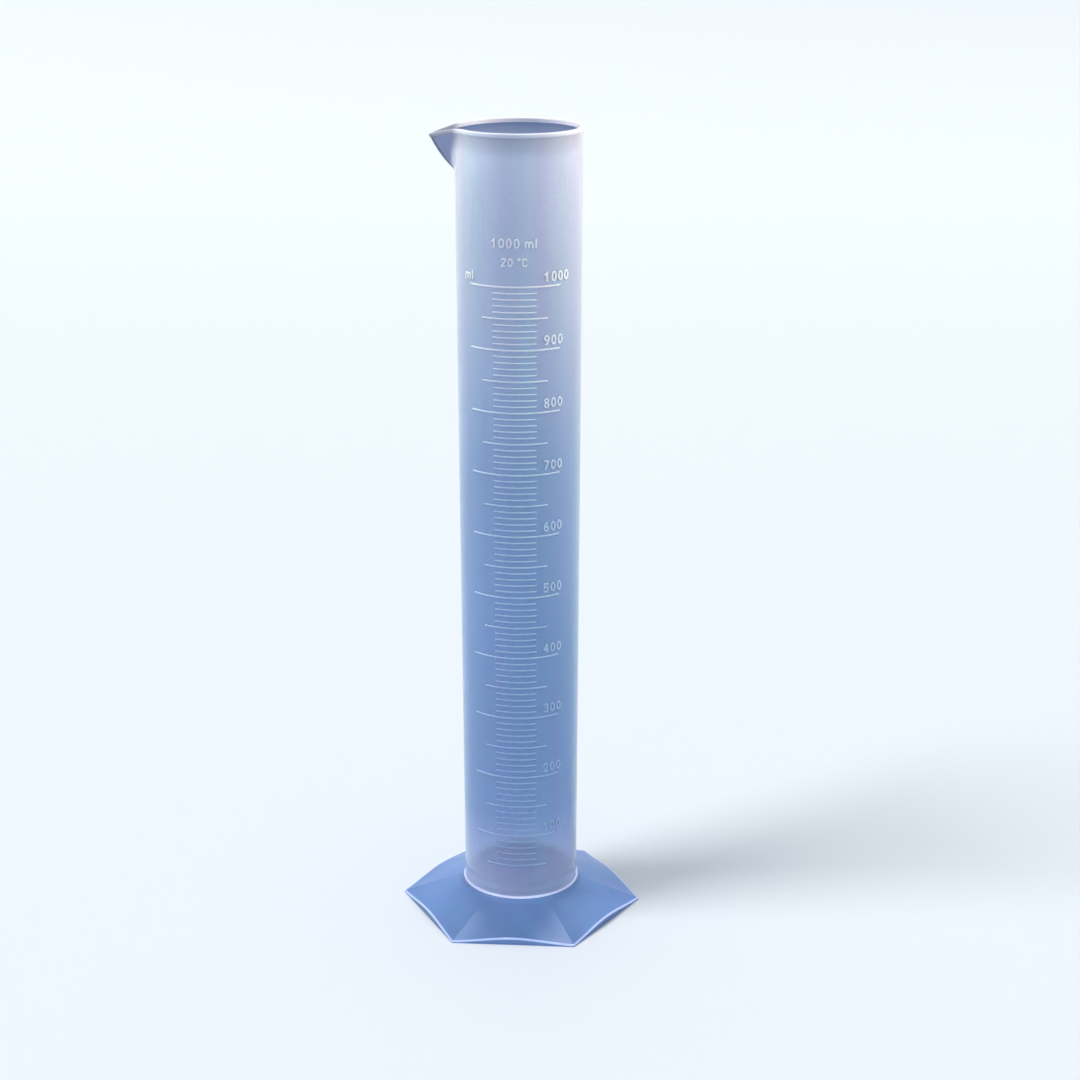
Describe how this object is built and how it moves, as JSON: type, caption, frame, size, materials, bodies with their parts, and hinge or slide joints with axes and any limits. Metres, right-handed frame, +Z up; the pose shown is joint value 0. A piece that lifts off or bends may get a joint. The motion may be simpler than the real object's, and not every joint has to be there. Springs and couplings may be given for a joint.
{
  "type": "graduated cylinder",
  "caption": "Tall translucent plastic measuring cylinder with a pouring spout, a raised scale and a wide hexagonal foot.",
  "frame": {"origin": "on the surface the foot stands on, at the tube's axis", "axes": "+Z up the tube, the scale faces -Y, the spout points to -X, foot corners on +X and -X"},
  "size_m": [0.1348, 0.1168, 0.4391],
  "materials": {
    "tube_polypropylene": "natural translucent polypropylene, satin moulded skin with fine flow lines",
    "foot_polypropylene": "natural translucent polypropylene over a blue surround, smooth moulded skin",
    "joint_polypropylene": "whitened polypropylene where the two mouldings are joined",
    "raised_scale": "raised moulded relief with a frosted crest"
  },
  "bodies": {
    "root": {"tube": "tube_polypropylene", "foot": "foot_polypropylene", "joint_ring": "joint_polypropylene", "scale_major_lines": "raised_scale", "scale_half_lines": "raised_scale", "scale_minor_lines": "raised_scale", "numeral_100": "raised_scale", "numeral_200": "raised_scale", "numeral_300": "raised_scale", "numeral_400": "raised_scale", "numeral_500": "raised_scale", "numeral_600": "raised_scale", "numeral_700": "raised_scale", "numeral_800": "raised_scale", "numeral_900": "raised_scale", "numeral_1000": "raised_scale", "unit_mark": "raised_scale", "capacity_mark": "raised_scale", "temperature_mark": "raised_scale"}
  },
  "joints": []
}
